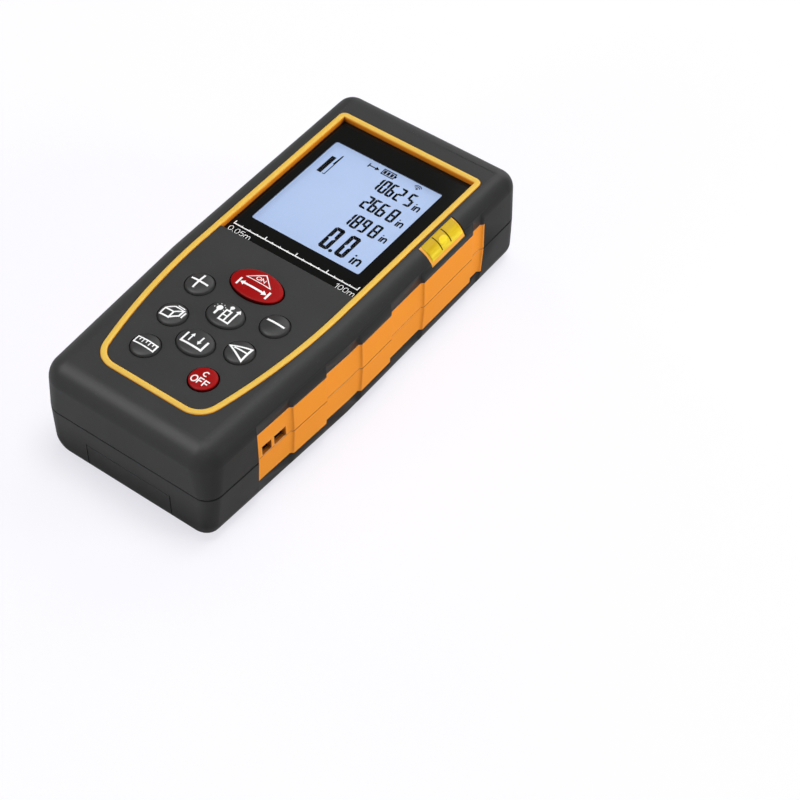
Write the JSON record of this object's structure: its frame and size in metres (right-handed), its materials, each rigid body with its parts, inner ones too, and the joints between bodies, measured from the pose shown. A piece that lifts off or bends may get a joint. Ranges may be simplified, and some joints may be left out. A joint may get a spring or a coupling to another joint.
{
  "type": "laser distance meter",
  "caption": "Hand-held laser distance meter with a large display, domed rubber keys, ribbed side grips, a spirit vial, a lanyard eye and a sliding battery door.",
  "frame": {"origin": "centre of the bounding box's base, on the back of the case", "axes": "+Y along the length toward the laser end, +Z out of the keypad face, +X to the right side with the vial when the display is read"},
  "size_m": [0.052, 0.1126, 0.0291],
  "materials": {
    "case_plastic": "fine matt texture",
    "trim_amber": "satin",
    "grip_orange": "matt, soft to the touch",
    "key_grey": "matt",
    "key_red": "satin",
    "window_glass": "clear with a printed black border",
    "black_rubber": "matt",
    "clear_silicone": "milky",
    "lcd_face": "lit from behind",
    "backlight_white": "diffusing",
    "steel": "plated",
    "board_green": "solder resist",
    "chip_black": "matt",
    "vial_acrylic": "tinted, clear",
    "vial_liquid": "tinted liquid",
    "vial_bubble": "air bubble",
    "line_black": "printed",
    "bezel_black": "gloss",
    "emitter_glass": "tinted",
    "lens_glass": "coated",
    "chassis_grey": "moulded",
    "brass": "machined",
    "flex_amber": "film",
    "cell_sleeve": "printed sleeve, plain"
  },
  "bodies": {
    "case": {"front_case": "case_plastic", "rear_case": "case_plastic", "face_trim": "trim_amber", "display_window": "window_glass", "window_gasket": "black_rubber", "grip_right_front": "grip_orange", "grip_right_rear": "grip_orange", "grip_left_front": "grip_orange", "grip_left_rear": "grip_orange", "keypad_mat": "clear_silicone", "snap_domes": "steel", "main_board": "board_green", "board_chips": "chip_black", "board_screws": "steel", "buzzer": "chip_black", "lcd_panel": "lcd_face", "lcd_backlight": "backlight_white", "lcd_connector": "black_rubber", "vial_block": "vial_acrylic", "vial_liquid": "vial_liquid", "vial_bubble": "vial_bubble", "vial_lines": "line_black", "vial_plug": "vial_acrylic", "optics_bezel": "bezel_black", "emitter_window": "emitter_glass", "optics_chassis": "chassis_grey", "optics_screws": "steel", "receiver_lens": "lens_glass", "lens_ring": "bezel_black", "laser_tube": "brass", "collimator_lens": "lens_glass", "laser_diode": "brass", "optics_board": "board_green", "detector": "brass", "flex_cable": "flex_amber", "battery_left": "cell_sleeve", "battery_right": "cell_sleeve", "spring_near": "steel", "spring_far": "steel", "contact_bridge": "steel", "contact_left": "steel", "contact_right": "steel", "case_screws": "steel"},
    "door": {"battery_door": "case_plastic"},
    "key_measure_body": {"key_measure": "key_red"},
    "key_plus_body": {"key_plus": "key_grey"},
    "key_minus_body": {"key_minus": "key_grey"},
    "key_store_body": {"key_store": "key_grey"},
    "key_volume_body": {"key_volume": "key_grey"},
    "key_triangle_body": {"key_triangle": "key_grey"},
    "key_reference_body": {"key_reference": "key_grey"},
    "key_unit_body": {"key_unit": "key_grey"},
    "key_off_body": {"key_off": "key_red"}
  },
  "joints": [
    {"name": "key_measure_press", "type": "slide", "parent": "case", "child": "key_measure_body", "axis": [0, 0, -1], "range_m": [0, 0.0006], "stiffness_N_per_m": 3000},
    {"name": "key_plus_press", "type": "slide", "parent": "case", "child": "key_plus_body", "axis": [0, 0, -1], "range_m": [0, 0.0006], "stiffness_N_per_m": 3000},
    {"name": "key_minus_press", "type": "slide", "parent": "case", "child": "key_minus_body", "axis": [0, 0, -1], "range_m": [0, 0.0006], "stiffness_N_per_m": 3000},
    {"name": "key_store_press", "type": "slide", "parent": "case", "child": "key_store_body", "axis": [0, 0, -1], "range_m": [0, 0.0006], "stiffness_N_per_m": 3000},
    {"name": "key_volume_press", "type": "slide", "parent": "case", "child": "key_volume_body", "axis": [0, 0, -1], "range_m": [0, 0.0006], "stiffness_N_per_m": 3000},
    {"name": "key_triangle_press", "type": "slide", "parent": "case", "child": "key_triangle_body", "axis": [0, 0, -1], "range_m": [0, 0.0006], "stiffness_N_per_m": 3000},
    {"name": "key_reference_press", "type": "slide", "parent": "case", "child": "key_reference_body", "axis": [0, 0, -1], "range_m": [0, 0.0006], "stiffness_N_per_m": 3000},
    {"name": "key_unit_press", "type": "slide", "parent": "case", "child": "key_unit_body", "axis": [0, 0, -1], "range_m": [0, 0.0006], "stiffness_N_per_m": 3000},
    {"name": "key_off_press", "type": "slide", "parent": "case", "child": "key_off_body", "axis": [0, 0, -1], "range_m": [0, 0.0006], "stiffness_N_per_m": 3000},
    {"name": "battery_door_slide", "type": "slide", "parent": "case", "child": "door", "axis": [0, -1, 0], "range_m": [0, 0.055]}
  ]
}
